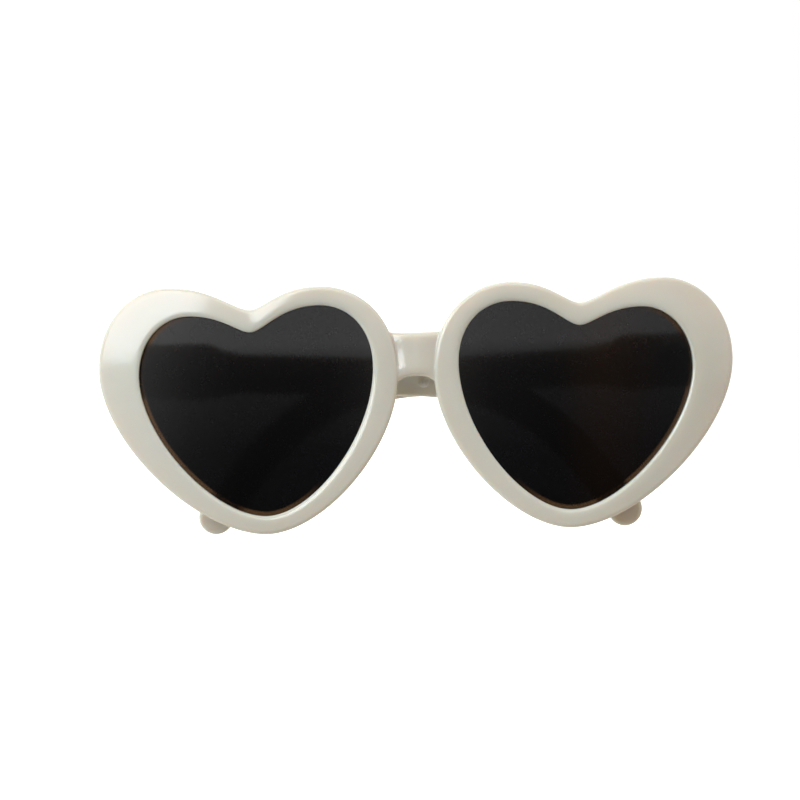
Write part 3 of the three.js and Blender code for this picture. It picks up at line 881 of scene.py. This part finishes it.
temple = right_temple()
temple_leaf = right_leaf("right_temple_leaf", TEMPLE_LEAF_LENGTH, [0])
front_leaf = right_leaf("right_front_leaf", FRONT_LEAF_LENGTH, [-1, 1])
front_leaf.data.transform(Matrix.Scale(-1, 4, (0, 1, 0)))
front_leaf.data.flip_normals()
right_screw = screw("right_screw")
left_pieces = {
    piece: mirrored(piece, piece.name.replace("right", "left"))
    for piece in (temple, temple_leaf, front_leaf, right_screw)
}
folds = {"right": math.pi / 2 - LEAN, "left": -math.pi / 2 - LEAN}
for side, fold in folds.items():
    at_hinge = Matrix.Translation(hinges[side + "_temple"] * MM)
    folded = at_hinge @ Matrix.Rotation(fold, 4, "Z")
    for piece, body, node, slot, look, place in (
        (temple, side + "_temple", "temple_", "frame_plastic", ivory, folded),
        (temple_leaf, side + "_temple", "hinge_temple_leaf_", "hinge_steel", steel, folded),
        (front_leaf, "front", "hinge_front_leaf_", "hinge_steel", steel, at_hinge),
        (right_screw, "front", "hinge_screw_", "hinge_steel", steel, at_hinge),
    ):
        mine = piece if side == "right" else left_pieces[piece]
        mine.data.transform(place)
        dress(mine, body, node + side, look)

# Studio: a pale floor, a white surround that is dim on the camera's side, and soft lamps

FLOOR_REACH = 3000
FLOOR_DROP = 0.01

# Spans of direction, where -Y is towards the camera and +X to its right
HEIGHT_SPAN = (-0.6, 0.6)
CAMERA_SPAN = (-0.9, -0.97)
HORIZON_SPAN = (-0.02, 0.04)
TONES_SPAN = (-0.3, 0.3)
WARMTH_SPAN = (-0.5, 0.6)
BOUNCE_SPAN = (-0.04, -0.01)
LEFT_SPAN = (-0.1, 0.1)
BEHIND_SPAN = (-0.45, 0.1)

# The room from low to high, and how it is dimmed round the camera, below and above the horizon
ROOM = [(0.3, (0.24, 0.23, 0.22)), (0.8, (0.66, 0.66, 0.66))]
DUSK = [(0, (0.1, 0.1, 0.1)), (1, (0.41, 0.41, 0.41))]

# Things of the dim room that the lenses mirror, from left to right
TONES = [
    (0, (6, 6, 6.2)),
    (0.05, (3, 3, 3.1)),
    (0.1, (1.5, 1.5, 1.6)),
    (0.18, (0.85, 0.85, 0.9)),
    (0.35, (0.85, 0.85, 0.95)),
    (0.42, (1.6, 1.6, 1.7)),
    (0.5, (6, 5.9, 5.8)),
    (0.58, (2.2, 2.2, 2.3)),
    (0.64, (1.1, 1.1, 1.3)),
    (0.76, (0.78, 0.85, 0.95)),
    (0.84, (1.9, 1.3, 1.0)),
    (0.98, (0.5, 0.7, 1.0)),
]

# Warmth of the room from left to right, and of the ground behind the object up to the white above it
WARMTH = [(0, (1, 1, 1)), (1, (1, 0.9, 0.78))]
BOUNCE = [(0, (0.78, 0.72, 0.64)), (1, (1, 1, 1))]

# Glow of the left side, from the side to behind the object
GLOW = [
    (0.1, (2.15, 2.3, 2.4)),
    (0.35, (1.2, 1.2, 1.2)),
    (0.95, (1.2, 1.2, 1.2)),
    (0.985, (3, 3, 3)),
]
WHITE = (1, 1, 1, 1)

LAMPS = {
    "key": {"place": (-324, -469, 224), "size": (437, 321), "watts": 2.05, "colour": (0.9, 0.955, 1)},
    "fill": {"place": (420, -420, 120), "size": (320, 240), "watts": 0.1, "colour": (1, 0.9, 0.78)},
    "front": {"place": (0, -520, 420), "size": (420, 200), "watts": 0.35, "colour": (1, 1, 1)},
}

# Camera, and the photograph's width in pixels, millimetres a pixel and pixel of the rims' middle
CAMERA_DISTANCE = 500
CAMERA_RISE = math.radians(-1.0)
CAMERA_ROLL = math.radians(-1.3)
SENSOR_WIDTH = 36
PHOTO_WIDTH = 800
PHOTO_SCALE = 0.12608
MIDDLE_PIXEL = (416.5, 405)
MIDDLE_HEIGHT = 15.86
WIDEST_Y = FRONT_Y + wrap(cad_high[0] / MM) + RIM_DEPTH / 2


def pale_floor():
    corners = ((-1, -1), (1, -1), (1, 1), (-1, 1))
    points = [(x * FLOOR_REACH, y * FLOOR_REACH, -FLOOR_DROP) for x, y in corners]
    floor = mesh_object("floor", points, [(0, 1, 2, 3)])
    made, _, _ = material("pale_floor", PALE)
    floor.data.materials.append(made)
    floor.visible_diffuse = False
    floor.visible_glossy = False
    return floor


def surround():
    """White behind the object, pale above, dim below and dimmest round the camera."""
    world = bpy.data.worlds.new("studio")
    world.use_nodes = True
    tree = world.node_tree
    x, y, z = axes(tree, "Generated")
    room = ramp(tree, between(tree, z, HEIGHT_SPAN), ROOM)
    dusk = ramp(tree, between(tree, z, HORIZON_SPAN), DUSK)
    tones = ramp(tree, between(tree, x, TONES_SPAN), TONES)
    warmth = ramp(tree, between(tree, x, WARMTH_SPAN), WARMTH)
    shade = mixed(tree, "MULTIPLY", 1, dusk, tones)
    dimmed = mixed(tree, "MULTIPLY", between(tree, y, CAMERA_SPAN), room, shade)
    near_side = mixed(tree, "MULTIPLY", 1, dimmed, warmth)
    bounce = ramp(tree, between(tree, z, BOUNCE_SPAN), BOUNCE)
    glow = ramp(tree, y, GLOW)
    backdrop = mixed(tree, "MIX", between(tree, x, LEFT_SPAN), glow, WHITE)
    far_side = mixed(tree, "MULTIPLY", 1, bounce, backdrop)
    whole = mixed(tree, "MIX", between(tree, y, BEHIND_SPAN), near_side, far_side)
    tree.links.new(whole, tree.nodes["Background"].inputs["Color"])
    bpy.context.scene.world = world


def softbox(name, place, size, watts, colour):
    """A soft rectangular lamp that shines on the middle of the object."""
    light = bpy.data.lights.new(name, "AREA")
    light.shape = "RECTANGLE"
    light.size, light.size_y = size[0] * MM, size[1] * MM
    light.energy = watts
    light.color = colour
    lamp = added(name, light)
    lamp.location = Vector(place) * MM
    way = Vector((0, 0, MIDDLE_HEIGHT)) - Vector(place)
    lamp.rotation_euler = way.to_track_quat("-Z", "Y").to_euler()


def pixel(x, y):
    """The place, in the plane of the widest part of the rims, that a pixel of the photograph shows."""
    across = (x - MIDDLE_PIXEL[0]) * PHOTO_SCALE
    up = (MIDDLE_PIXEL[1] - y) * PHOTO_SCALE
    return Vector((across, WIDEST_Y, MIDDLE_HEIGHT + up))


def photo_camera():
    data = bpy.data.cameras.new("camera")
    data.sensor_width = SENSOR_WIDTH
    data.clip_start = MM
    data.lens = SENSOR_WIDTH * CAMERA_DISTANCE / (PHOTO_WIDTH * PHOTO_SCALE)
    camera = added("camera", data)
    turn = Matrix.Rotation(math.pi / 2 - CAMERA_RISE, 4, "X") @ Matrix.Rotation(CAMERA_ROLL, 4, "Z")
    back = Vector((0, -math.cos(CAMERA_RISE), math.sin(CAMERA_RISE))) * CAMERA_DISTANCE
    aim = pixel(PHOTO_WIDTH / 2, PHOTO_WIDTH / 2)
    camera.matrix_world = Matrix.Translation((aim + back) * MM) @ turn
    return camera


floor = pale_floor()
surround()
for lamp_name, lamp in LAMPS.items():
    softbox(lamp_name, **lamp)
bpy.context.scene.camera = photo_camera()
bpy.context.scene.view_settings.view_transform = "Standard"
